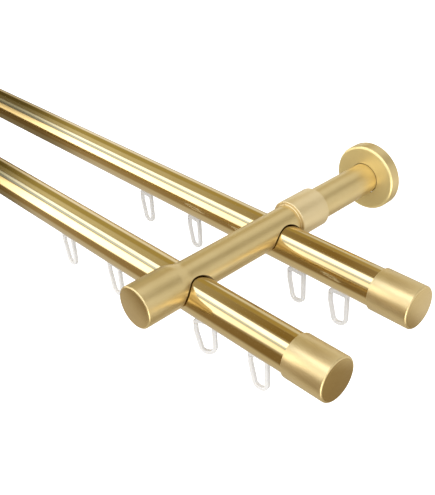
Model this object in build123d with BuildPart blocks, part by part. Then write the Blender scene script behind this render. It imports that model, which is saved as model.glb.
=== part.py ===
import os

from build123d import *

os.makedirs("parts", exist_ok=True)

# Places of the set: x runs along the rods, the wall is the plane y = 0, z points up
rear_rod_reach = 82.9
front_rod_reach = 145.8
rod_drop = 6.0

# Rods: round tubes with a flat inner track and a slot underneath
rod_length = 1000.0
rod_radius = 10.0
rod_wall = 1.2
track_floor = 7.0
slot_width = 5.0
front_end_reach = 90.0
rear_end_reach = 86.7
left_end_reach = 90.0

# End caps
cap_wall = 0.95
cap_length = 22.0
cap_end_wall = 3.0
cap_edge = 0.7
cap_fit = 0.05

# Bracket arm
arm_radius = 9.0
nose_step = 2.0
nose_front = 32.1
nose_taper = 9.0
nose_edge = 0.9
saddle_gap = 0.3
arm_insertion = 9.6

# Collar, stem and rosette
collar_wall = 1.95
collar_length = 20.5
collar_rod_gap = 0.4
collar_edge = 0.6
collar_mouth = 0.3
tube_fit = 0.05
stem_wall = 2.0
stem_insertion = 9.6
rosette_radius = 19.5
rosette_depth = 7.2
rosette_wall = 1.5
rosette_edge = 2.0

# Wall plate
plate_gap = 1.5
plate_thickness = 3.0
spigot_length = 14.0
spigot_fit = 0.05
wall_hole_spacing = 23.0
wall_hole_radius = 2.25
wall_sink_radius = 4.2
stem_plate_gap = 0.3

# Set screws in the stem and the collar
grub_radius = 2.0
grub_length = 3.0
grub_sink = 0.3
grub_socket = 1.1
grub_socket_depth = 1.6
grub_point = 0.8
grub_fit = 0.05
stem_grub_reach = 12.0

# Screws that hold the rods in the saddles
rod_screw_radius = 1.5
rod_screw_depth = 3.2
rod_screw_head_radius = 2.7
rod_screw_head = 1.8
rod_screw_fit = 0.05
rod_hole_fit = 0.2
head_gap = 0.1

# Gliders
glider_width = 12.2
glider_drop = 24.0
glider_thickness = 2.2
glider_leg = 2.1
glider_bar = 3.2
glider_bar_gap = 2.0
glider_edge = 0.4
shoulder = 2.6
lean = 3.0
lean_start = 5.8
heel_radius = 5.6
toe_radius = 3.0
click_gap = 0.5
click_slant = -12.0
neck_length = 4.4
neck_thickness = 3.0
head_length = 9.0
head_width = 7.4
head_height = 2.2
head_corner = 1.5
head_lift = 0.1
# Each glider stands at a place along its rod and is turned a little about its neck
rear_gliders = ((-111.0, -5.0), (-65.8, -7.0), (15.3, -2.0), (43.8, 3.0))
front_gliders = ((-106.0, -4.0), (-61.5, -3.0), (11.6, 21.0), (48.0, 3.0))

# Values that follow from the sizes above
rod_bore = rod_radius - rod_wall
cap_radius = rod_radius + cap_fit + cap_wall
nose_radius = arm_radius + nose_step
collar_radius = arm_radius + tube_fit + collar_wall
plate_radius = rosette_radius - rosette_wall - plate_gap
rod_hole_radius = rod_screw_radius + rod_hole_fit
saddle_radius = rod_radius + saddle_gap
rod_z = -rod_drop
rod_bottom = rod_z - rod_radius
nose_face = -front_rod_reach - nose_front
nose_end = -front_rod_reach - saddle_radius
collar_front = -rear_rod_reach + rod_radius + collar_rod_gap
collar_rear = collar_front + collar_length
arm_end = collar_front + arm_insertion
stem_front = collar_rear - stem_insertion
stem_rear = -plate_thickness - stem_plate_gap
stem_bore = arm_radius - stem_wall
spigot_radius = stem_bore - spigot_fit
rods = {
    "front": (-front_rod_reach, front_end_reach),
    "rear": (-rear_rod_reach, rear_end_reach),
}
brackets = {"right": 0.0, "left": front_end_reach - rod_length + left_end_reach}


def save(builder, name):
    builder.part.label = name
    export_step(builder.part, f"parts/{name}.step")


# Rods: the section is drawn at the left end and drawn out to the right
def make_rod(name, rod_y, right_end):
    start = right_end - rod_length
    track_half = (rod_bore**2 - track_floor**2) ** 0.5
    with BuildPart() as rod:
        with BuildSketch(Plane.YZ.offset(start)):
            with Locations((rod_y, rod_z)):
                Circle(rod_radius)
            with BuildLine():
                ThreePointArc(
                    (rod_y - track_half, rod_z - track_floor),
                    (rod_y, rod_z + rod_bore),
                    (rod_y + track_half, rod_z - track_floor),
                )
                Line(
                    (rod_y + track_half, rod_z - track_floor),
                    (rod_y - track_half, rod_z - track_floor),
                )
            make_face(mode=Mode.SUBTRACT)
            with Locations((rod_y, rod_z - track_floor)):
                Rectangle(slot_width, rod_radius, align=(Align.CENTER, Align.MAX), mode=Mode.SUBTRACT)
        extrude(amount=rod_length)
        with BuildSketch(Plane.XY.offset(rod_z)):
            with Locations(*[(x, rod_y) for x in brackets.values()]):
                Circle(rod_hole_radius)
        extrude(amount=rod_radius, mode=Mode.SUBTRACT)
    save(rod, name)


# End caps: a turned cup over the rod's end, hand is 1 at the right end and -1 at the left
def make_cap(name, rod_y, rod_end, hand):
    face = rod_end + hand * cap_end_wall
    rim = face - hand * cap_length
    bore = rod_radius + cap_fit
    with BuildPart() as cap:
        with BuildSketch(Plane.XY.offset(rod_z)):
            with BuildLine():
                Polyline(
                    (face, rod_y),
                    (face, rod_y + cap_radius),
                    (rim, rod_y + cap_radius),
                    (rim, rod_y + bore),
                    (rod_end, rod_y + bore),
                    (rod_end, rod_y),
                    close=True,
                )
            make_face()
        revolve(axis=Axis((0, rod_y, rod_z), (1, 0, 0)))
        outer = cap.edges().filter_by(GeomType.CIRCLE).group_by(SortBy.RADIUS)[-1]
        fillet(outer.sort_by(Axis.X)[-1 if hand > 0 else 0], radius=cap_edge)
    save(cap, name)


# Arm: a turned bar with a thicker nose, and a saddle open downwards over each rod
def make_arm(name, x):
    taper_end = nose_end + nose_taper
    thick_edge = (x + nose_radius, nose_end)
    slim_edge = (x + arm_radius, taper_end)
    taper_middle = ((thick_edge[0] + slim_edge[0]) / 2, (nose_end + taper_end) / 2)
    with BuildPart() as arm:
        with BuildSketch(Plane.XY):
            with BuildLine():
                Line((x, nose_face), (x + nose_radius, nose_face))
                Line((x + nose_radius, nose_face), thick_edge)
                TangentArc(thick_edge, taper_middle, tangent=(0, 1))
                TangentArc(slim_edge, taper_middle, tangent=(0, -1))
                Line(slim_edge, (x + arm_radius, arm_end))
                Line((x + arm_radius, arm_end), (x, arm_end))
                Line((x, arm_end), (x, nose_face))
            make_face()
        revolve(axis=Axis((x, 0, 0), (0, 1, 0)))
        fillet(arm.edges().filter_by(GeomType.CIRCLE).sort_by(Axis.Y)[0], radius=nose_edge)
        with BuildSketch(Plane.YZ.offset(x - nose_radius)):
            for rod_y, _ in rods.values():
                with Locations((rod_y, rod_z)):
                    Circle(saddle_radius)
                    Rectangle(2 * saddle_radius, nose_radius, align=(Align.CENTER, Align.MAX))
        extrude(amount=2 * nose_radius, mode=Mode.SUBTRACT)
        with BuildSketch(Plane.XY.offset(rod_z)):
            with Locations(*[(x, rod_y) for rod_y, _ in rods.values()]):
                Circle(rod_screw_radius + rod_screw_fit)
        extrude(amount=saddle_radius + rod_screw_depth + head_gap, mode=Mode.SUBTRACT)
        with BuildSketch(Plane.XY.offset(-collar_radius)):
            with Locations((x, collar_grubs[0])):
                Circle(grub_radius + grub_fit)
        extrude(amount=grub_sink + grub_length + grub_fit, mode=Mode.SUBTRACT)
    save(arm, name)


# Collar: a sleeve over the arm's end and the stem's end
def make_collar(name, x):
    bore = arm_radius + tube_fit
    with BuildPart() as collar:
        with BuildSketch(Plane.XZ.offset(-collar_rear)):
            with Locations((x, 0)):
                Circle(collar_radius)
                Circle(bore, mode=Mode.SUBTRACT)
        extrude(amount=collar_length)
        rims = collar.edges().filter_by(GeomType.CIRCLE).group_by(SortBy.RADIUS)
        chamfer(rims[0], length=collar_mouth)
        fillet(rims[-1], radius=collar_edge)
        with BuildSketch(Plane.XY):
            with Locations(*[(x, y) for y in collar_grubs]):
                Circle(grub_radius + grub_fit)
        extrude(amount=-collar_radius, mode=Mode.SUBTRACT)
    save(collar, name)


# Stem: a tube from the wall plate's spigot into the collar
def make_stem(name, x):
    with BuildPart() as stem:
        with BuildSketch(Plane.XZ.offset(-stem_rear)):
            with Locations((x, 0)):
                Circle(arm_radius)
                Circle(stem_bore, mode=Mode.SUBTRACT)
        extrude(amount=stem_rear - stem_front)
        with BuildSketch(Plane.XY):
            with Locations((x, -stem_grub_reach), (x, collar_grubs[1])):
                Circle(grub_radius + grub_fit)
        extrude(amount=-arm_radius, mode=Mode.SUBTRACT)
    save(stem, name)


# Rosette: a turned cup that hides the wall plate, with a hole for the stem
def make_rosette(name, x):
    hole = arm_radius + tube_fit
    cup = rosette_radius - rosette_wall
    with BuildPart() as rosette:
        with BuildSketch(Plane.XY):
            with BuildLine():
                Polyline(
                    (x + hole, -rosette_depth),
                    (x + rosette_radius, -rosette_depth),
                    (x + rosette_radius, 0),
                    (x + cup, 0),
                    (x + cup, rosette_wall - rosette_depth),
                    (x + hole, rosette_wall - rosette_depth),
                    close=True,
                )
            make_face()
        revolve(axis=Axis((x, 0, 0), (0, 1, 0)))
        front = rosette.edges().filter_by(GeomType.CIRCLE).group_by(Axis.Y)[0]
        fillet(front.sort_by(SortBy.RADIUS)[-1], radius=rosette_edge)
    save(rosette, name)


# Wall plate: a disc with two countersunk holes, one over the other, and the stem's spigot
def make_wall_plate(name, x):
    front = Plane.XZ.offset(plate_thickness)
    with BuildPart() as plate:
        with BuildSketch(Plane.XZ):
            with Locations((x, 0)):
                Circle(plate_radius)
        extrude(amount=plate_thickness)
        with BuildSketch(front):
            with Locations((x, 0)):
                Circle(spigot_radius)
        extrude(amount=spigot_length)
        with Locations(front):
            with Locations((x, wall_hole_spacing / 2), (x, -wall_hole_spacing / 2)):
                CounterSinkHole(wall_hole_radius, wall_sink_radius, depth=plate_thickness)
        with BuildSketch(Plane.XY.offset(-arm_radius)):
            with Locations((x, -stem_grub_reach)):
                Circle(grub_radius + grub_fit)
        extrude(amount=grub_sink + grub_length + grub_fit, mode=Mode.SUBTRACT)
    save(plate, name)


# Set screws: pointed, with a hexagon socket, driven up from below
def make_grub_screws(name, x):
    tube_and_reach = [
        (arm_radius, -stem_grub_reach),
        (collar_radius, collar_grubs[0]),
        (collar_radius, collar_grubs[1]),
    ]
    with BuildPart() as screws:
        for tube_radius, y in tube_and_reach:
            foot = Plane.XY.offset(grub_sink - tube_radius)
            with BuildSketch(foot):
                with Locations((x, y)):
                    Circle(grub_radius)
            extrude(amount=grub_length)
            with BuildSketch(foot):
                with Locations((x, y)):
                    RegularPolygon(grub_socket, 6)
            extrude(amount=grub_socket_depth, mode=Mode.SUBTRACT)
        tips = screws.faces().filter_by(Plane.XY).filter_by(GeomType.PLANE).group_by(SortBy.AREA)[-1]
        chamfer(tips.edges(), length=grub_point)
    save(screws, name)


# Rod screws: the head bears on the rod's inside, the shank goes up into the arm
def make_rod_screws(name, x):
    edge_height = (rod_bore**2 - rod_screw_head_radius**2) ** 0.5
    head_top = rod_z + edge_height - head_gap
    shank_top = rod_z + saddle_radius + rod_screw_depth
    places = [(x, rod_y) for rod_y, _ in rods.values()]
    with BuildPart() as screws:
        with BuildSketch(Plane.XY.offset(head_top)):
            with Locations(*places):
                Circle(rod_screw_head_radius)
        extrude(amount=-rod_screw_head)
        with BuildSketch(Plane.XY.offset(head_top)):
            with Locations(*places):
                Circle(rod_screw_radius)
        extrude(amount=shank_top - head_top)
        with BuildSketch(Plane.XY.offset(head_top - rod_screw_head)):
            with Locations(*places):
                RegularPolygon(grub_socket, 6)
        extrude(amount=rod_screw_head / 2, mode=Mode.SUBTRACT)
    save(screws, name)


# Glider: a head on the inner track, a neck through the slot and a click loop below the rod.
# The swivel turns the whole glider about its neck, by degrees from straight along the rod.
def make_glider(name, x, rod_y, swivel):
    half = glider_width / 2
    eye_half = half - glider_leg
    bar_top = rod_bottom - glider_bar_gap
    bar_bottom = bar_top - glider_bar
    loop_bottom = rod_bottom - glider_drop
    eye_bottom = loop_bottom + glider_leg
    knee = bar_bottom - lean_start
    head_floor = rod_z - track_floor + head_lift
    loop_plane = Plane(
        origin=(x, rod_y, 0),
        x_dir=Vector(1, 0, 0).rotate(Axis.Z, swivel),
        z_dir=Vector(0, -1, 0).rotate(Axis.Z, swivel),
    )
    with BuildPart() as glider:
        with BuildSketch(loop_plane):
            with BuildLine():
                FilletPolyline(
                    (-half, knee),
                    (lean - half, loop_bottom),
                    (half, loop_bottom),
                    (half, knee),
                    radius=(toe_radius, heel_radius),
                )
                Polyline(
                    (half, knee),
                    (half, bar_top),
                    (shoulder - half, bar_top),
                    (-half, bar_top - shoulder),
                    (-half, knee),
                )
            make_face()
            with BuildLine():
                FilletPolyline(
                    (-eye_half, knee),
                    (lean - eye_half, eye_bottom),
                    (eye_half, eye_bottom),
                    (eye_half, knee),
                    radius=(toe_radius - glider_leg, heel_radius - glider_leg),
                )
                Polyline(
                    (eye_half, knee),
                    (eye_half, bar_bottom),
                    (-eye_half, bar_bottom),
                    (-eye_half, knee),
                )
            make_face(mode=Mode.SUBTRACT)
        extrude(amount=glider_thickness / 2, both=True)
        chamfer(glider.faces().filter_by(loop_plane).edges(), length=glider_edge)
        with BuildSketch(loop_plane):
            with Locations((-half, bar_bottom - click_gap)):
                Rectangle(2 * glider_leg + shoulder, click_gap, rotation=click_slant)
        extrude(amount=glider_thickness, both=True, mode=Mode.SUBTRACT)
        with BuildSketch(Plane.XY.offset(bar_top)):
            with Locations((x, rod_y)):
                Rectangle(neck_length, neck_thickness, rotation=swivel)
        extrude(amount=head_floor - bar_top)
        with BuildSketch(Plane.XY.offset(head_floor)):
            with Locations((x, rod_y)):
                Rectangle(head_length, head_width, rotation=swivel)
        extrude(amount=head_height)
        upright = glider.edges().filter_by(Axis.Z).filter_by(lambda edge: edge.center().Z > head_floor)
        chamfer(upright, length=head_corner)
    save(glider, name)


collar_grubs = (
    (collar_front + arm_end) / 2,
    (collar_rear + stem_front) / 2,
)

for rod_name, (rod_y, rod_end) in rods.items():
    make_rod(f"rod_{rod_name}", rod_y, rod_end)
    make_cap(f"end_cap_{rod_name}_right", rod_y, rod_end, 1)
    make_cap(f"end_cap_{rod_name}_left", rod_y, rod_end - rod_length, -1)

for side, x in brackets.items():
    make_arm(f"arm_{side}", x)
    make_collar(f"collar_{side}", x)
    make_stem(f"stem_{side}", x)
    make_rosette(f"rosette_{side}", x)
    make_wall_plate(f"wall_plate_{side}", x)
    make_grub_screws(f"grub_screws_{side}", x)
    make_rod_screws(f"rod_screws_{side}", x)

for number, (x, swivel) in enumerate(rear_gliders, start=1):
    make_glider(f"glider_rear_{number}", x, -rear_rod_reach, swivel)
for number, (x, swivel) in enumerate(front_gliders, start=1):
    make_glider(f"glider_front_{number}", x, -front_rod_reach, swivel)
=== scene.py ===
from math import cos, pi, radians, sin, sqrt

import bmesh
import bpy
from mathutils import Matrix, Vector


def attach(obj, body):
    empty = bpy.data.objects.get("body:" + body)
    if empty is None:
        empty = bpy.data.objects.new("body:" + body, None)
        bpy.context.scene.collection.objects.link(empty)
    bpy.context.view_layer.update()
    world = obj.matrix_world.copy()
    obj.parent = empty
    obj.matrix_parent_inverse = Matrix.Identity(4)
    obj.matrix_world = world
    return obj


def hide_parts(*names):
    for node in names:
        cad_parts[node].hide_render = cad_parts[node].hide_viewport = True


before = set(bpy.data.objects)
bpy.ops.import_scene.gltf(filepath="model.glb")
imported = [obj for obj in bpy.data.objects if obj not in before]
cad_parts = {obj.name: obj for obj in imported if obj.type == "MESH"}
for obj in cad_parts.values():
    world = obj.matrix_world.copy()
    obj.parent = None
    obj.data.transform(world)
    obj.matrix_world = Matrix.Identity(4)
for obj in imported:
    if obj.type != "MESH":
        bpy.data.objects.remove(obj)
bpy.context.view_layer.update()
mm = 0.001  # the sizes below are in millimetres
print("frame loaded:", len(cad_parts), "nodes")

# places that several pieces share
rodZ = -6.0
rodY = {"front": -145.8, "rear": -82.9}
rodEnd = {"front": 90.0, "rear": 86.7}
bracketX = {"right": 0.0, "left": -820.0}
tiny = 0.01  # how near counts as the same place
mergeWithin = 0.002  # how near two points are merged


def clearSelection():
    if bpy.context.mode != "OBJECT":
        bpy.ops.object.mode_set(mode="OBJECT")
    bpy.ops.object.select_all(action="DESELECT")


def makeActive(piece):
    clearSelection()
    piece.select_set(True)
    bpy.context.view_layer.objects.active = piece


def startEdit(name):
    # applies the new shape's place and opens it for editing
    piece = bpy.context.active_object
    piece.name = piece.data.name = name
    bpy.ops.object.transform_apply(location=True, rotation=True, scale=True)
    bpy.ops.object.mode_set(mode="EDIT")
    return piece


def pickAll(kind="FACE"):
    bpy.ops.mesh.select_mode(type=kind)
    bpy.ops.mesh.select_all(action="SELECT")


def pick(piece, kind, test):
    # selects the vertices, edges or faces whose middle passes the test
    bpy.ops.mesh.select_mode(type=kind)
    bpy.ops.mesh.select_all(action="DESELECT")
    mesh = bmesh.from_edit_mesh(piece.data)
    for part in {"VERT": mesh.verts, "EDGE": mesh.edges, "FACE": mesh.faces}[kind]:
        corners = [part] if kind == "VERT" else part.verts
        middle = sum((corner.co for corner in corners), Vector()) / len(corners)
        part.select_set(bool(test(middle / mm)))
    mesh.select_flush_mode()
    bmesh.update_edit_mesh(piece.data)


def moveBy(x=0.0, y=0.0, z=0.0):
    bpy.ops.transform.translate(value=(x * mm, y * mm, z * mm))


def extrudeBy(x=0.0, y=0.0, z=0.0):
    bpy.ops.mesh.extrude_region_move(TRANSFORM_OT_translate={"value": (x * mm, y * mm, z * mm)})


def scaleAbout(factors, centre):
    bpy.ops.transform.resize(value=factors, center_override=tuple(c * mm for c in centre))


def endEdit():
    pickAll("VERT")
    bpy.ops.mesh.remove_doubles(threshold=mergeWithin * mm)
    bpy.ops.mesh.normals_make_consistent(inside=False)
    bpy.ops.object.mode_set(mode="OBJECT")


def combine(piece, tool, operation="DIFFERENCE"):
    # cuts the piece with the tool, or joins the tool to it, and removes the tool
    makeActive(piece)
    cut = piece.modifiers.new("cut", "BOOLEAN")
    cut.operation = operation
    cut.solver = "EXACT"
    cut.object = tool
    bpy.ops.object.modifier_apply(modifier=cut.name)
    bpy.data.objects.remove(tool, do_unlink=True)


def softenEdges(piece, width, segments, angle=40.0):
    makeActive(piece)
    bevel = piece.modifiers.new("edge", "BEVEL")
    bevel.width = width * mm
    bevel.segments = segments
    bevel.limit_method = "ANGLE"
    bevel.angle_limit = radians(angle)
    bpy.ops.object.modifier_apply(modifier=bevel.name)


def smooth(piece, angle=30.0):
    makeActive(piece)
    bpy.ops.object.shade_smooth_by_angle(angle=radians(angle))


def pickDiscs(piece):
    # the discs that close the ends of a piece turned about Y
    pick(piece, "FACE", lambda co: co.x**2 + co.z**2 < 1)


def addBox(name, middle, size, slant=0.0):
    clearSelection()
    bpy.ops.mesh.primitive_cube_add(
        size=1,
        location=[m * mm for m in middle],
        rotation=(0, radians(slant), 0),
        scale=[s * mm for s in size],
    )
    return startEdit(name)


def turned(name, axis, centre, stations, sides):
    # a disc at the first station, extruded and scaled to each next one;
    # a station is a place along the axis and a radius
    clearSelection()
    along = "XYZ".index(axis)
    place, radius = stations[0]
    spot = [c * mm for c in centre]
    spot[along] = place * mm
    bpy.ops.mesh.primitive_circle_add(
        vertices=sides,
        radius=radius * mm,
        fill_type="NGON",
        location=spot,
        rotation=(0, pi / 2, 0) if axis == "X" else (pi / 2, 0, 0),
    )
    piece = startEdit(name)
    pickAll()
    for nextPlace, nextRadius in stations[1:]:
        extrudeBy(**{axis.lower(): nextPlace - place})
        if nextRadius != radius:
            factor = nextRadius / radius
            middle = list(centre)
            middle[along] = nextPlace
            scaleAbout((1, factor, factor) if axis == "X" else (factor, 1, factor), middle)
        place, radius = nextPlace, nextRadius
    return piece


def bevelRing(piece, axis, centre, place, radius, width, segments):
    # rounds the circular edge at that place and radius
    along = "XYZ".index(axis)
    across = [i for i in range(3) if i != along]

    def onRing(co):
        reach = sqrt(sum((co[i] - centre[i]) ** 2 for i in across))
        return abs(co[along] - place) < tiny and abs(reach - radius) < 3 * tiny

    pick(piece, "EDGE", onRing)
    bpy.ops.mesh.bevel(offset=width * mm, segments=segments, profile=0.5)


def copyPiece(source, name, shift, swivel=0.0):
    # a copy with its own mesh, turned about the upright axis and moved, both in the mesh itself
    makeActive(source)
    bpy.ops.object.duplicate(linked=False)
    piece = bpy.context.active_object
    piece.name = piece.data.name = name
    piece.rotation_euler.z = radians(swivel)
    piece.location = tuple(s * mm for s in shift)
    bpy.ops.object.transform_apply(location=True, rotation=True, scale=True)
    return piece


def settle(piece, body, node, finishes, onFace=None):
    # gives the piece its materials and body, and hides the CAD node it replaces;
    # onFace tells by its middle whether a face gets the second finish
    piece.data.materials.clear()
    for finish in finishes:
        piece.data.materials.append(materials[finish])
    if onFace:
        for polygon in piece.data.polygons:
            polygon.material_index = int(onFace(polygon.center / mm))
    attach(piece, body)
    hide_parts(node)


def newMaterial(name):
    material = bpy.data.materials.new(name)
    material.use_nodes = True
    nodes, links = material.node_tree.nodes, material.node_tree.links
    return material, nodes, links, nodes["Principled BSDF"]


noiseSpan = (0.3, 0.7)  # noise seldom leaves this range
everyMetal = {"cloud": 60.0, "grainDetail": 4.0, "grainRoughness": 0.6, "bump": 0.5}


def noiseOn(nodes, links, stretch, scale, detail=3.0, roughness=0.55):
    place = nodes.new("ShaderNodeTexCoord")
    mapping = nodes.new("ShaderNodeMapping")
    mapping.inputs["Scale"].default_value = stretch
    noise = nodes.new("ShaderNodeTexNoise")
    noise.inputs["Scale"].default_value = scale
    noise.inputs["Detail"].default_value = detail
    noise.inputs["Roughness"].default_value = roughness
    links.new(place.outputs["Object"], mapping.inputs["Vector"])
    links.new(mapping.outputs["Vector"], noise.inputs["Vector"])
    return noise


def toneFrom(nodes, links, noise, shader, deep, light):
    ramp = nodes.new("ShaderNodeValToRGB")
    for element, place, colour in zip(ramp.color_ramp.elements, noiseSpan, (deep, light)):
        element.position = place
        element.color = (*colour, 1)
    links.new(noise.outputs["Fac"], ramp.inputs["Fac"])
    links.new(ramp.outputs["Color"], shader.inputs["Base Color"])


def glossFrom(nodes, links, noise, shader, low, high):
    spread = nodes.new("ShaderNodeMapRange")
    spread.inputs["From Min"].default_value, spread.inputs["From Max"].default_value = noiseSpan
    spread.inputs["To Min"].default_value = low
    spread.inputs["To Max"].default_value = high
    links.new(noise.outputs["Fac"], spread.inputs["Value"])
    links.new(spread.outputs["Result"], shader.inputs["Roughness"])


def bumpFrom(nodes, links, noise, shader, strength, depth):
    bump = nodes.new("ShaderNodeBump")
    bump.inputs["Strength"].default_value = strength
    bump.inputs["Distance"].default_value = depth * mm
    links.new(noise.outputs["Fac"], bump.inputs["Height"])
    links.new(bump.outputs["Normal"], shader.inputs["Normal"])


def metal(name, deep, light, rough, grain, scale, depth, bare=1.0):
    # a metal with a faint cloudy tone, a grain that may run one way and uneven gloss;
    # bare is the share that mirrors, and the rest is the matt tint of its lacquer
    s = everyMetal
    material, nodes, links, shader = newMaterial(name)
    shader.inputs["Metallic"].default_value = bare
    cloud = noiseOn(nodes, links, (1, 1, 1), s["cloud"])
    toneFrom(nodes, links, cloud, shader, deep, light)
    lines = noiseOn(nodes, links, grain, scale, s["grainDetail"], s["grainRoughness"])
    glossFrom(nodes, links, lines, shader, *rough)
    bumpFrom(nodes, links, lines, shader, s["bump"], depth)
    return material


# each metal's two tones, its lowest and highest roughness, and its grain's stretch, scale and depth
metals = {
    "polished_brass": {
        "deep": (0.80, 0.62, 0.31),
        "light": (0.84, 0.66, 0.35),
        "rough": (0.08, 0.13),
        "grain": (1, 160, 160),
        "scale": 8.0,
        "depth": 0.002,
    },
    "satin_brass": {
        "deep": (0.83, 0.65, 0.32),
        "light": (0.88, 0.70, 0.36),
        "rough": (0.33, 0.39),
        "grain": (120, 5, 120),
        "scale": 9.0,
        "depth": 0.002,
        "bare": 0.87,
    },
    # the rosettes' faces: a more matt brass, with tones painted lighter than the flank's as painted
    # light
    "matt_brass_painted_light": {
        "deep": (0.93, 0.75, 0.34),
        "light": (0.98, 0.80, 0.38),
        "rough": (0.34, 0.40),
        "grain": (60, 60, 60),
        "scale": 20.0,
        "depth": 0.002,
        "bare": 0.65,
    },
    "pale_satin_brass": {
        "deep": (0.88, 0.71, 0.40),
        "light": (0.92, 0.75, 0.44),
        "rough": (0.36, 0.42),
        "grain": (70, 70, 70),
        "scale": 30.0,
        "depth": 0.003,
        "bare": 0.7,
    },
    "cap_brass": {
        "deep": (0.80, 0.62, 0.31),
        "light": (0.85, 0.67, 0.35),
        "rough": (0.33, 0.40),
        "grain": (8, 130, 130),
        "scale": 8.0,
        "depth": 0.002,
        "bare": 0.85,
    },
    # the end faces' brass: smoother, with tones painted darker than the caps' and the arms' as
    # painted shade
    "end_face_brass_painted_shade": {
        "deep": (0.72, 0.53, 0.24),
        "light": (0.78, 0.59, 0.28),
        "rough": (0.16, 0.24),
        "grain": (30, 30, 140),
        "scale": 6.0,
        "depth": 0.004,
    },
    "zinc_plated": {
        "deep": (0.55, 0.56, 0.58),
        "light": (0.66, 0.67, 0.69),
        "rough": (0.25, 0.40),
        "grain": (60, 60, 60),
        "scale": 30.0,
        "depth": 0.01,
    },
}
materials = {name: metal(name, **values) for name, values in metals.items()}

plastic = {
    "deep": (0.92, 0.895, 0.86),
    "light": (0.955, 0.93, 0.90),
    "rough": (0.42, 0.5),
    "cloud": 90.0,
    "ior": 1.46,
    "specular": 0.3,
    "transmission": 0.05,
    "subsurface": 0.15,
    "subsurfaceRadius": (0.6, 0.58, 0.5),
    "subsurfaceScale": 0.001,
    "bump": 0.15,
    "depth": 0.003,
}


def milkyPlastic(name):
    s = plastic
    material, nodes, links, shader = newMaterial(name)
    cloud = noiseOn(nodes, links, (1, 1, 1), s["cloud"])
    toneFrom(nodes, links, cloud, shader, s["deep"], s["light"])
    glossFrom(nodes, links, cloud, shader, *s["rough"])
    shader.inputs["IOR"].default_value = s["ior"]
    shader.inputs["Specular IOR Level"].default_value = s["specular"]
    shader.inputs["Transmission Weight"].default_value = s["transmission"]
    shader.inputs["Subsurface Weight"].default_value = s["subsurface"]
    shader.inputs["Subsurface Radius"].default_value = s["subsurfaceRadius"]
    shader.inputs["Subsurface Scale"].default_value = s["subsurfaceScale"]
    bumpFrom(nodes, links, cloud, shader, s["bump"], s["depth"])
    return material


materials["glider_plastic"] = milkyPlastic("glider_plastic")
print("materials ready")


rodSizes = {
    "length": 1000.0,
    "radius": 10.0,
    "bore": 8.8,
    "trackFloor": 7.0,  # below the rod's axis
    "slot": 5.0,
    "slotHeight": 9.0,  # of the tool that cuts the slot
    "screwHole": 1.7,
    "screwHoleDepth": 6.0,
    "screwHoleSides": 24,
    "screwRings": 9.0,  # from a screw hole to the ring on either side
    "beyond": 5.0,  # how far the tools stand out past the rod's ends
    "sides": 128,
}


def makeRod(which):
    s = rodSizes
    y, end = rodY[which], rodEnd[which]
    start = end - s["length"]
    centre = (0, y, rodZ)
    stations = [(start, s["radius"])]
    for x in sorted(bracketX.values()):
        # rings on both sides of a screw hole keep its facets short
        stations += [(x - s["screwRings"], s["radius"]), (x + s["screwRings"], s["radius"])]
    stations.append((end, s["radius"]))
    rod = turned("rod_" + which + "_tube", "X", centre, stations, s["sides"])
    endEdit()
    # the bore is flat at the bottom, which leaves the track's floor
    ends = [(start - s["beyond"], s["bore"]), (end + s["beyond"], s["bore"])]
    bore = turned("boreTool", "X", centre, ends, s["sides"])
    bpy.ops.mesh.select_all(action="SELECT")
    bpy.ops.mesh.bisect(
        plane_co=(0, y * mm, (rodZ - s["trackFloor"]) * mm),
        plane_no=(0, 0, 1),
        use_fill=True,
        clear_inner=True,
    )
    endEdit()
    combine(rod, bore)
    slotTool = addBox(
        "slotTool",
        ((start + end) / 2, y, rodZ - s["radius"]),
        (s["length"] + 2 * s["beyond"], s["slot"], s["slotHeight"]),
    )
    endEdit()
    combine(rod, slotTool)
    for x in bracketX.values():
        clearSelection()
        bpy.ops.mesh.primitive_cylinder_add(
            vertices=s["screwHoleSides"],
            radius=s["screwHole"] * mm,
            depth=s["screwHoleDepth"] * mm,
            location=(x * mm, y * mm, (rodZ + s["radius"]) * mm),
        )
        holeTool = startEdit("holeTool")
        endEdit()
        combine(rod, holeTool)
    smooth(rod, angle=25)
    settle(rod, "rod_set", "rod_" + which, ["polished_brass"])


for which in rodY:
    makeRod(which)
print("rods made")


capSizes = {
    "radius": 11.0,
    "length": 22.0,
    "wall": 3.0,  # over the rod's end
    "bore": 10.05,
    "edge": 1.0,
    "rimEdge": 0.15,
    "sides": 128,
}


def makeCap(which, side):
    s = capSizes
    hand = 1 if side == "right" else -1
    end = rodEnd[which] if side == "right" else rodEnd[which] - rodSizes["length"]
    face = end + hand * s["wall"]
    rim = face - hand * s["length"]
    centre = (0, rodY[which], rodZ)
    node = "end_cap_" + which + "_" + side
    stations = [(face, s["radius"]), (rim, s["radius"]), (rim, s["bore"]), (end, s["bore"])]
    cap = turned(node + "_cup", "X", centre, stations, s["sides"])
    bevelRing(cap, "X", centre, face, s["radius"], s["edge"], 5)
    bevelRing(cap, "X", centre, rim, s["radius"], s["rimEdge"], 2)
    endEdit()
    smooth(cap)
    # the end face gets the smoother brass whose darker tones are painted shade
    finishes = ["cap_brass", "end_face_brass_painted_shade"]
    settle(cap, "rod_set", node, finishes, lambda co: abs(co.x - face) < tiny)


for which in rodY:
    for side in bracketX:
        makeCap(which, side)
print("end caps made")


armSizes = {
    "radius": 9.0,
    "nose": 11.0,
    "noseFace": -177.9,
    "noseEnd": -156.1,
    "taperEnd": -147.1,
    "end": -62.9,
    "noseEdge": 0.9,
    "ringsBetween": (-120.0, -98.0),  # between the saddles
    "saddle": 10.7,
    "saddleReach": 15.0,  # half the width of the tool that cuts a saddle
    "saddleDepth": 14.0,
    "saddleSides": 96,
    "taperSteps": 10,
    "sides": 128,
}


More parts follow.
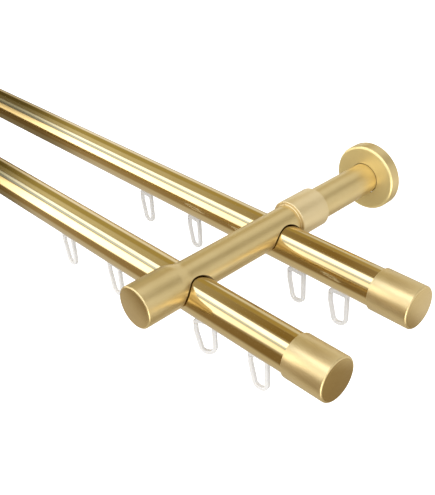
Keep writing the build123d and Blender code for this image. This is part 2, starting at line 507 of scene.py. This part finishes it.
def makeSaddleTool(y):
    # an arch open downwards: half a circle with straight sides, drawn out across the arm
    s = armSizes
    clearSelection()
    bpy.ops.mesh.primitive_circle_add(
        vertices=s["saddleSides"],
        radius=s["saddle"] * mm,
        fill_type="NOTHING",
        location=(-s["saddleReach"] * mm, y * mm, rodZ * mm),
        rotation=(0, pi / 2, 0),
    )
    tool = startEdit("saddleTool")
    pick(tool, "VERT", lambda co: co.z < rodZ - tiny)
    bpy.ops.mesh.delete(type="VERT")
    pick(tool, "VERT", lambda co: co.z < rodZ + tiny)
    extrudeBy(z=-s["saddleDepth"])
    bpy.ops.mesh.select_all(action="SELECT")
    bpy.ops.mesh.edge_face_add()
    pickAll()
    extrudeBy(x=2 * s["saddleReach"])
    endEdit()
    return tool


def makeArm():
    s = armSizes
    centre = (0, 0, 0)
    half, mean = (s["nose"] - s["radius"]) / 2, (s["nose"] + s["radius"]) / 2
    taper = s["taperEnd"] - s["noseEnd"]
    stations = [(s["noseFace"], s["nose"]), (s["noseEnd"], s["nose"])]
    for step in range(1, s["taperSteps"] + 1):
        # the taper follows half a wave, from the nose's radius to the arm's
        part = step / s["taperSteps"]
        stations.append((s["noseEnd"] + part * taper, mean + half * cos(pi * part)))
    stations += [(y, s["radius"]) for y in (*s["ringsBetween"], s["end"])]
    arm = turned("arm_right_bar", "Y", centre, stations, s["sides"])
    bevelRing(arm, "Y", centre, s["noseFace"], s["nose"], s["noseEdge"], 5)
    endEdit()
    for y in rodY.values():
        combine(arm, makeSaddleTool(y))
    smooth(arm)
    return arm


def onNoseFace(co):
    return abs(co.y - armSizes["noseFace"]) < tiny


arms = {"right": makeArm()}
arms["left"] = copyPiece(arms["right"], "arm_left_bar", (bracketX["left"], 0, 0))
for side, arm in arms.items():
    # the nose face gets the smoother brass whose darker tones are painted shade
    finishes = ["satin_brass", "end_face_brass_painted_shade"]
    settle(arm, "rod_set", "arm_" + side, finishes, onNoseFace)
print("arms made")


collarSizes = {
    "front": -72.5,
    "rear": -52.0,
    "radius": 11.0,
    "bore": 9.05,
    "edge": 0.6,
    "mouth": 0.3,  # the bevel where the arm and the stem go in
    "sides": 128,
}
stemSizes = {"front": -61.6, "rear": -3.3, "radius": 9.0, "bore": 7.0, "sides": 128}
rosetteSizes = {
    "radius": 19.5,
    "depth": 7.2,
    "wall": 1.5,
    "edge": 2.0,
    "hole": 9.3,  # its radius, a little wider than the stem's
    "sides": 160,
}


def makeCollar():
    s = collarSizes
    centre = (0, 0, 0)
    stations = [(s["front"], s["radius"]), (s["rear"], s["radius"])]
    collar = turned("collar_right_sleeve", "Y", centre, stations, s["sides"])
    # the bore goes right through: the two end faces are inset and bridged
    pickDiscs(collar)
    bpy.ops.mesh.inset(thickness=(s["radius"] - s["bore"] - s["mouth"]) * mm, use_individual=True)
    bpy.ops.mesh.inset(thickness=s["mouth"] * mm, depth=-s["mouth"] * mm, use_individual=True)
    bpy.ops.mesh.bridge_edge_loops()
    bevelRing(collar, "Y", centre, s["front"], s["radius"], s["edge"], 5)
    bevelRing(collar, "Y", centre, s["rear"], s["radius"], s["edge"], 5)
    endEdit()
    smooth(collar)
    return collar


def makeStem():
    s = stemSizes
    stations = [(s["front"], s["radius"]), (s["rear"], s["radius"])]
    stem = turned("stem_right_tube", "Y", (0, 0, 0), stations, s["sides"])
    pickDiscs(stem)
    bpy.ops.mesh.inset(thickness=(s["radius"] - s["bore"]) * mm, use_individual=True)
    bpy.ops.mesh.bridge_edge_loops()
    endEdit()
    smooth(stem)
    return stem


def makeRosette():
    # a cup open to the wall, with the stem's hole in its floor
    s = rosetteSizes
    centre = (0, 0, 0)
    face, inner, cup = -s["depth"], s["wall"] - s["depth"], s["radius"] - s["wall"]
    stations = [
        (face, s["hole"]),
        (face, s["radius"]),
        (0, s["radius"]),
        (0, cup),
        (inner, cup),
        (inner, s["hole"]),
    ]
    rosette = turned("rosette_right_cup", "Y", centre, stations, s["sides"])
    pickDiscs(rosette)
    bpy.ops.mesh.bridge_edge_loops()
    bevelRing(rosette, "Y", centre, face, s["radius"], s["edge"], 8)
    endEdit()
    smooth(rosette)
    return rosette


def flankTest(centreX):
    # a rosette's turned flank has the arm's finish, its face a more matt brass whose lighter tones
    # are painted light
    least = rosetteSizes["radius"] - 10 * tiny
    return lambda co: (co.x - centreX) ** 2 + co.z**2 > least**2


for maker, kind, slotName, finishes in (
    (makeCollar, "collar", "pale_satin_brass", ["pale_satin_brass"]),
    (makeStem, "stem", "satin_brass", ["satin_brass"]),
    # the rosette's face gets the more matt brass whose lighter tones are painted light
    (makeRosette, "rosette", "satin_brass", ["matt_brass_painted_light", "satin_brass"]),
):
    right = maker()
    left = copyPiece(right, right.name.replace("right", "left"), (bracketX["left"], 0, 0))
    for side, piece in (("right", right), ("left", left)):
        onFlank = flankTest(bracketX[side]) if kind == "rosette" else None
        settle(piece, "rod_set", kind + "_" + side, finishes, onFlank)
print("collars, stems and rosettes made")


gliderSizes = {
    "width": 12.2,
    "top": -18.0,
    "bottom": -40.0,
    "thickness": 2.2,
    "leg": 2.1,
    "bar": 3.2,
    "shoulder": 2.6,
    "lean": 3.0,  # how far one leg comes in at the bottom
    "leanStart": 5.8,  # below the bar
    "heel": 5.6,
    "toe": 3.0,
    "edge": 0.4,
    "clickGap": 0.5,
    "clickSlant": 12.0,
    "neck": (4.4, 3.0),
    "neckOverlap": 0.6,
    "head": (9.0, 7.4, 2.2),
    "headFloor": -12.9,
    "headCorner": 1.5,
    "headEdge": 0.25,
}
# where each glider stands along its rod, and how far it is turned about its neck (degrees)
gliderPlaces = {
    "rear": ((-111.0, -5.0), (-65.8, -7.0), (15.3, -2.0), (43.8, 3.0)),
    "front": ((-106.0, -4.0), (-61.5, -3.0), (11.6, 21.0), (48.0, 3.0)),
}


def makeLoop():
    # a flat outline with its corners cut, inset by the leg's width, opened and drawn out
    s = gliderSizes
    half = s["width"] / 2
    barBottom = s["top"] - s["bar"]
    knee = barBottom - s["leanStart"]
    clearSelection()
    bpy.ops.mesh.primitive_plane_add(
        size=1,
        location=(0, 0, (s["top"] + s["bottom"]) / 2 * mm),
        rotation=(pi / 2, 0, 0),
    )
    bpy.context.active_object.scale = (s["width"] * mm, (s["top"] - s["bottom"]) * mm, 1)
    loop = startEdit("gliderLoop")
    bpy.ops.mesh.select_all(action="SELECT")
    bpy.ops.mesh.bisect(plane_co=(0, 0, knee * mm), plane_no=(0, 0, 1))
    pick(loop, "VERT", lambda co: co.x < 0 and abs(co.z - s["bottom"]) < tiny)
    moveBy(x=s["lean"])
    bpy.ops.mesh.bevel(offset=s["toe"] * mm, segments=6, affect="VERTICES")
    pick(loop, "VERT", lambda co: abs(co.x - half) < tiny and abs(co.z - s["bottom"]) < tiny)
    bpy.ops.mesh.bevel(offset=s["heel"] * mm, segments=10, affect="VERTICES")
    pick(loop, "VERT", lambda co: co.x < 0 and abs(co.z - s["top"]) < tiny)
    bpy.ops.mesh.bevel(offset=s["shoulder"] * mm, segments=1, affect="VERTICES")
    pickAll()
    bpy.ops.mesh.inset(thickness=s["leg"] * mm)
    bpy.ops.mesh.delete(type="FACE")
    # the eye's top edge comes down to the bar's lower side
    sideLimit, topLimit = half - s["leg"] / 2, s["top"] - s["leg"] / 2
    pick(loop, "VERT", lambda co: abs(co.x) < sideLimit and barBottom < co.z < topLimit)
    scaleAbout((1, 1, 0), (0, 0, barBottom))
    pickAll()
    moveBy(y=-s["thickness"] / 2)
    extrudeBy(y=s["thickness"])
    endEdit()
    softenEdges(loop, s["edge"], 3, angle=50)
    return loop


def makeGlider():
    s = gliderSizes
    glider = makeLoop()
    # the click gap is a slanting cut through one leg
    gapZ = s["top"] - s["bar"] - s["clickGap"]
    cutSize = (2 * s["leg"] + s["shoulder"], 2 * s["thickness"], s["clickGap"])
    clickTool = addBox("clickTool", (-s["width"] / 2, 0, gapZ), cutSize, s["clickSlant"])
    endEdit()
    combine(glider, clickTool)
    neckHeight = s["headFloor"] - s["top"] + s["neckOverlap"]
    neckMiddle = (0, 0, (s["top"] + s["headFloor"]) / 2)
    neck = addBox("neck", neckMiddle, (*s["neck"], neckHeight))
    endEdit()
    softenEdges(neck, s["headEdge"], 2)
    combine(glider, neck, "UNION")
    headMiddle = s["headFloor"] + s["head"][2] / 2
    head = addBox("head", (0, 0, headMiddle), s["head"])
    # only the upright edges have their middle at half the height
    pick(head, "EDGE", lambda co: abs(co.z - headMiddle) < tiny)
    bpy.ops.mesh.bevel(offset=s["headCorner"] * mm, segments=4)
    endEdit()
    softenEdges(head, s["headEdge"], 2, angle=60)
    combine(glider, head, "UNION")
    smooth(glider, angle=40)
    return glider


masterGlider = makeGlider()
for which, places in gliderPlaces.items():
    for number, (x, swivel) in enumerate(places, start=1):
        node = "glider_" + which + "_" + str(number)
        piece = copyPiece(masterGlider, node + "_loop", (x, rodY[which], 0), swivel)
        settle(piece, node, node, ["glider_plastic"])
bpy.data.objects.remove(masterGlider, do_unlink=True)
print("gliders made")

# screws and wall plates stay as they are and get the plated finish
for side in bracketX:
    for kind in ("wall_plate", "grub_screws", "rod_screws"):
        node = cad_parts[kind + "_" + side]
        node.data.materials.clear()
        node.data.materials.append(materials["zinc_plated"])
print("plated parts finished")

# The studio, in metres. The set's metal mirrors cards and softboxes that stand all around it.
# Angles run from the room side (0) over the top (90) to the wall (180), or under the set (below 0),
# and x is the part of a direction that points along the rods.
studio = {
    "floorZ": -1.6,
    "floorSize": 30.0,
    "floorColour": 0.85,
    "floorGlow": 0.9,
    "fill": 0.9,
    "middle": (0.0, -0.115, -0.006),
    # x at which the cards' left values and their right values hold
    "leftSide": -0.78,
    "rightSide": -0.53,
    "roomLeft": (0.46, 0.42, 0.34),
    "roomRight": (0.42, 0.38, 0.30),
    # a stretch of x on the far left is dim: its two ends, its tint and its share of the light,
    # and how much that share changes from one angle to another
    "dimNear": (-0.83, -0.785),
    "dimFar": (-0.9, -0.96),
    "dimTint": (1.0, 0.9, 0.68),
    "dimShare": 0.36,
    "dimBands": ((15.0, 40.0, -0.16), (138.0, 178.0, 0.45)),
    # the share of light in what metal mirrors by way of other metal
    "secondMirror": 0.7,
}
# each card's low and high edge at the left, and at the right where that differs, the width of its
# soft margins and its light; begins and ends are along x, for a card that doesn't go right across
cards = {
    "backdropBelow": {
        "left": (-200, -50),
        "soft": 6,
        "lightLeft": (0.56, 0.53, 0.48),
        "lightRight": (0.58, 0.54, 0.46),
    },
    "brownCloth": {
        "left": (-44, -6),
        "right": (-42, 8),
        "soft": 12,
        "lightLeft": (0.37, 0.29, 0.18),
        "lightRight": (0.23, 0.16, 0.07),
    },
    "keySoftbox": {
        "left": (-5, 44),
        "right": (17, 40),
        "soft": 9,
        "lightLeft": (3.1, 3.1, 3.1),
        "lightRight": (1.45, 1.45, 1.45),
    },
    "softboxGap": {
        "left": (50, 61),
        "right": (44, 50),
        "soft": 6,
        "lightLeft": (0.75, 0.95, 1.40),
        "lightRight": (0.80, 0.98, 1.30),
    },
    "topSoftbox": {
        "left": (63, 79),
        "right": (52, 75),
        "soft": 6,
        "lightLeft": (1.6, 1.9, 2.5),
        "lightRight": (2.3, 2.4, 2.6),
    },
    "rearCard": {
        "left": (84, 112),
        "right": (83, 126),
        "soft": 10,
        "lightLeft": (0.72, 0.70, 0.52),
        "lightRight": (0.24, 0.16, 0.045),
    },
    "wallCard": {
        "left": (112, 152),
        "right": (126, 152),
        "soft": 10,
        "lightLeft": (0.43, 0.37, 0.15),
        "lightRight": (0.42, 0.32, 0.11),
    },
    "backdropWall": {
        "left": (154, 190),
        "soft": 10,
        "lightLeft": (1.0, 1.0, 1.0),
        "lightRight": (0.75, 0.74, 0.68),
    },
    "paperBeyond": {
        "left": (84, 200),
        "soft": 30,
        "begins": (-0.52, -0.25),
        "lightLeft": (0.70, 0.69, 0.64),
    },
    "flagRight": {
        "left": (104, 148),
        "soft": 24,
        "begins": (0.05, 0.4),
        "ends": (0.62, 0.76),
        "lightLeft": (0.26, 0.22, 0.14),
    },
    "paperRight": {
        "left": (-168, -138),
        "soft": 10,
        "begins": (0.67, 0.78),
        "lightLeft": (1.15, 1.15, 1.1),
    },
    "glintRight": {
        "left": (-78, -5),
        "soft": 12,
        "begins": (0.5, 0.62),
        "lightLeft": (3.2, 3.2, 3.0),
    },
    "floorRight": {
        "left": (-136, -80),
        "soft": 5,
        "begins": (0.1, 0.25),
        "ends": (0.62, 0.7),
        "lightLeft": (0.34, 0.28, 0.18),
    },
    "floorByWall": {
        "left": (-200, -138),
        "soft": 5,
        "begins": (0.1, 0.25),
        "ends": (0.62, 0.7),
        "lightLeft": (0.82, 0.80, 0.74),
    },
}


class Sums:
    # puts math nodes into one node tree
    def __init__(self, nodes, links):
        self.nodes, self.links = nodes, links

    def put(self, value, socket):
        if isinstance(value, (int, float)):
            socket.default_value = value
        else:
            self.links.new(value, socket)

    def math(self, operation, *values):
        node = self.nodes.new("ShaderNodeMath")
        node.operation = operation
        for value, socket in zip(values, node.inputs):
            self.put(value, socket)
        return node.outputs[0]

    def spread(self, value, low, high, kind="SMOOTHSTEP"):
        # 0 at low, 1 at high
        node = self.nodes.new("ShaderNodeMapRange")
        node.interpolation_type = kind
        self.put(value, node.inputs["Value"])
        self.put(low, node.inputs["From Min"])
        self.put(high, node.inputs["From Max"])
        return node.outputs["Result"]

    def blend(self, factor, first, second, kind="MIX"):
        # the first colour at 0, the second at 1
        node = self.nodes.new("ShaderNodeMix")
        node.data_type = "RGBA"
        node.blend_type = kind
        self.put(factor, node.inputs[0])
        for colour, socket in ((first, node.inputs[6]), (second, node.inputs[7])):
            if isinstance(colour, tuple):
                socket.default_value = (*colour, 1)
            else:
                self.links.new(colour, socket)
        return node.outputs[2]


def cardMask(do, card, angle, x, side):
    # 1 on the card, 0 off it
    margin = card["soft"] / 2
    low, high = [
        do.math("MULTIPLY_ADD", side, rightEdge - leftEdge, leftEdge)
        for leftEdge, rightEdge in zip(card["left"], card.get("right", card["left"]))
    ]
    rise = do.spread(angle, do.math("SUBTRACT", low, margin), do.math("ADD", low, margin))
    fall = do.spread(angle, do.math("ADD", high, margin), do.math("SUBTRACT", high, margin))
    mask = do.math("MULTIPLY", rise, fall)
    if "begins" in card:
        mask = do.math("MULTIPLY", mask, do.spread(x, *card["begins"]))
    if "ends" in card:
        last, first = card["ends"]
        mask = do.math("MULTIPLY", mask, do.spread(x, first, last))
    return mask


def studioLight(nodes, links, direction, firstDepth):
    # the colour and strength of the light that comes from a direction, as metal mirrors it;
    # firstDepth is the ray depth of a first mirror image, one more in the world than on the floor
    do = Sums(nodes, links)
    parts = nodes.new("ShaderNodeSeparateXYZ")
    links.new(direction, parts.inputs[0])
    x, y, z = parts.outputs
    angle = do.math("MULTIPLY", do.math("ARCTAN2", z, do.math("MULTIPLY", y, -1)), 180 / pi)
    side = do.spread(x, studio["leftSide"], studio["rightSide"], "LINEAR")
    light = do.blend(side, studio["roomLeft"], studio["roomRight"])
    for card in cards.values():
        lightRight = card.get("lightRight", card["lightLeft"])
        cardLight = do.blend(side, card["lightLeft"], lightRight)
        light = do.blend(cardMask(do, card, angle, x, side), light, cardLight)
    outside = do.math(
        "MAXIMUM",
        do.spread(x, *studio["dimNear"]),
        do.spread(x, *studio["dimFar"]),
    )
    inside = do.math("SUBTRACT", 1.0, outside)
    light = do.blend(inside, light, studio["dimTint"], "MULTIPLY")
    dim = studio["dimShare"]
    for low, high, change in studio["dimBands"]:
        dim = do.math("MULTIPLY_ADD", do.spread(angle, low, high), change, dim)
    share = do.math("ADD", dim, do.math("MULTIPLY", outside, do.math("SUBTRACT", 1.0, dim)))
    path = nodes.new("ShaderNodeLightPath")
    again = do.math("GREATER_THAN", path.outputs["Ray Depth"], firstDepth + 0.5)
    byMetal = do.math("MULTIPLY_ADD", again, studio["secondMirror"] - 1.0, 1.0)
    return light, do.math("MULTIPLY", share, byMetal)


def rayMask(nodes, links, *kinds):
    # 1 for the named kinds of ray
    do = Sums(nodes, links)
    path = nodes.new("ShaderNodeLightPath")
    mask = path.outputs[kinds[0]]
    for kind in kinds[1:]:
        mask = do.math("MAXIMUM", mask, path.outputs[kind])
    return mask


def mixShaders(nodes, links, mask, first, second):
    mix = nodes.new("ShaderNodeMixShader")
    links.new(mask, mix.inputs[0])
    links.new(first, mix.inputs[1])
    links.new(second, mix.inputs[2])
    return mix.outputs[0]


def makeFloor():
    clearSelection()
    place = (0, 0, studio["floorZ"])
    bpy.ops.mesh.primitive_plane_add(size=studio["floorSize"], location=place)
    floor = bpy.context.active_object
    floor.name = floor.data.name = "floor"
    bpy.ops.object.transform_apply(location=True, rotation=True, scale=True)
    material = bpy.data.materials.new("floor_paper")
    material.use_nodes = True
    nodes, links = material.node_tree.nodes, material.node_tree.links
    nodes.clear()
    # pale paper whose glow only the camera sees, so it is nearly white and still takes shadows
    paper = nodes.new("ShaderNodeBsdfDiffuse")
    grey = studio["floorColour"]
    paper.inputs["Color"].default_value = (grey, grey, grey, 1)
    glow = nodes.new("ShaderNodeEmission")
    seen = rayMask(nodes, links, "Is Camera Ray", "Is Transmission Ray")
    strength = Sums(nodes, links).math("MULTIPLY", seen, studio["floorGlow"])
    links.new(strength, glow.inputs["Strength"])
    both = nodes.new("ShaderNodeAddShader")
    links.new(paper.outputs[0], both.inputs[0])
    links.new(glow.outputs[0], both.inputs[1])
    # metal mirrors the studio in the floor's place
    here = nodes.new("ShaderNodeTexCoord")
    fromSet = nodes.new("ShaderNodeVectorMath")
    fromSet.operation = "SUBTRACT"
    fromSet.inputs[1].default_value = studio["middle"]
    links.new(here.outputs["Object"], fromSet.inputs[0])
    direction = nodes.new("ShaderNodeVectorMath")
    direction.operation = "NORMALIZE"
    links.new(fromSet.outputs[0], direction.inputs[0])
    light, strength = studioLight(nodes, links, direction.outputs[0], 1)
    mirrored = nodes.new("ShaderNodeEmission")
    links.new(light, mirrored.inputs["Color"])
    links.new(strength, mirrored.inputs["Strength"])
    glossy = rayMask(nodes, links, "Is Glossy Ray")
    out = nodes.new("ShaderNodeOutputMaterial")
    shown = mixShaders(nodes, links, glossy, both.outputs[0], mirrored.outputs[0])
    links.new(shown, out.inputs["Surface"])
    floor.data.materials.append(material)


# the lamps light the set from about the angles of the two softboxes; reach is their distance
lamps = {
    "keySoftbox": {"low": 1, "high": 42, "radiance": 0.7},
    "topSoftbox": {"low": 54, "high": 77, "radiance": 1.0},
}
lampPlace = {"reach": 0.9, "left": -1.35, "right": 1.2, "y": -0.115}


def makeLamp(name, low, high, radiance):
    # a rectangle with its long side along the rods; metal mirrors the softbox's card instead of it
    s = lampPlace
    middle = radians((low + high) / 2)
    length, centreX = s["right"] - s["left"], (s["left"] + s["right"]) / 2
    height = 2 * s["reach"] * sin(radians((high - low) / 2))
    light = bpy.data.lights.new(name, "AREA")
    light.shape = "RECTANGLE"
    light.size = length
    light.size_y = height
    light.energy = radiance * pi * length * height
    lamp = bpy.data.objects.new(name, light)
    bpy.context.collection.objects.link(lamp)
    back = Vector((0, -cos(middle), sin(middle)))
    right = Vector((1, 0, 0))
    turn = Matrix((right, back.cross(right), back)).transposed().to_4x4()
    place = Vector((centreX, s["y"], 0)) + back * s["reach"]
    lamp.matrix_world = Matrix.Translation(place) @ turn
    lamp.visible_camera = False
    lamp.visible_glossy = False


def makeWorld():
    world = bpy.data.worlds.new("studio")
    bpy.context.scene.world = world
    world.use_nodes = True
    world.cycles.sampling_method = "NONE"
    nodes, links = world.node_tree.nodes, world.node_tree.links
    nodes.clear()
    direction = nodes.new("ShaderNodeTexCoord")
    light, strength = studioLight(nodes, links, direction.outputs["Generated"], 2)
    mirrored = nodes.new("ShaderNodeBackground")
    links.new(light, mirrored.inputs["Color"])
    links.new(strength, mirrored.inputs["Strength"])
    fill = nodes.new("ShaderNodeBackground")
    fill.inputs["Color"].default_value = (1, 1, 1, 1)
    fill.inputs["Strength"].default_value = studio["fill"]
    white = nodes.new("ShaderNodeBackground")
    white.inputs["Color"].default_value = (1, 1, 1, 1)
    glossy = rayMask(nodes, links, "Is Glossy Ray")
    lit = mixShaders(nodes, links, glossy, fill.outputs[0], mirrored.outputs[0])
    seen = rayMask(nodes, links, "Is Camera Ray", "Is Transmission Ray")
    out = nodes.new("ShaderNodeOutputWorld")
    links.new(mixShaders(nodes, links, seen, lit, white.outputs[0]), out.inputs["Surface"])


makeFloor()
for name, values in lamps.items():
    makeLamp(name, **values)
makeWorld()
bpy.context.scene.view_settings.view_transform = "Standard"

# the camera stands where the photograph was taken from
cameraFit = {
    "place": (232.74, -333.70, 209.70),
    "azimuth": 48.066,
    "elevation": 32.846,
    "roll": -2.928,
    "focalPixels": 757.38,
    "imageHeight": 495.0,
    "sensor": 36.0,
    "clip": (0.01, 50),
}


def makeCamera():
    c = cameraFit
    azimuth, elevation, roll = radians(c["azimuth"]), radians(c["elevation"]), radians(c["roll"])
    back = Vector((sin(azimuth) * cos(elevation), -cos(azimuth) * cos(elevation), sin(elevation)))
    right = Vector((cos(azimuth), sin(azimuth), 0))
    up = back.cross(right)
    tiltRight = right * cos(roll) + up * sin(roll)
    tiltUp = -right * sin(roll) + up * cos(roll)
    lens = bpy.data.cameras.new("camera")
    lens.sensor_fit = "VERTICAL"
    lens.sensor_height = c["sensor"]
    lens.lens = c["focalPixels"] * c["sensor"] / c["imageHeight"]
    lens.clip_start, lens.clip_end = c["clip"]
    camera = bpy.data.objects.new("camera", lens)
    bpy.context.collection.objects.link(camera)
    turn = Matrix((tiltRight, tiltUp, back)).transposed().to_4x4()
    camera.matrix_world = Matrix.Translation(Vector(c["place"]) * mm) @ turn
    bpy.context.scene.camera = camera


makeCamera()
print("studio ready")

clearSelection()
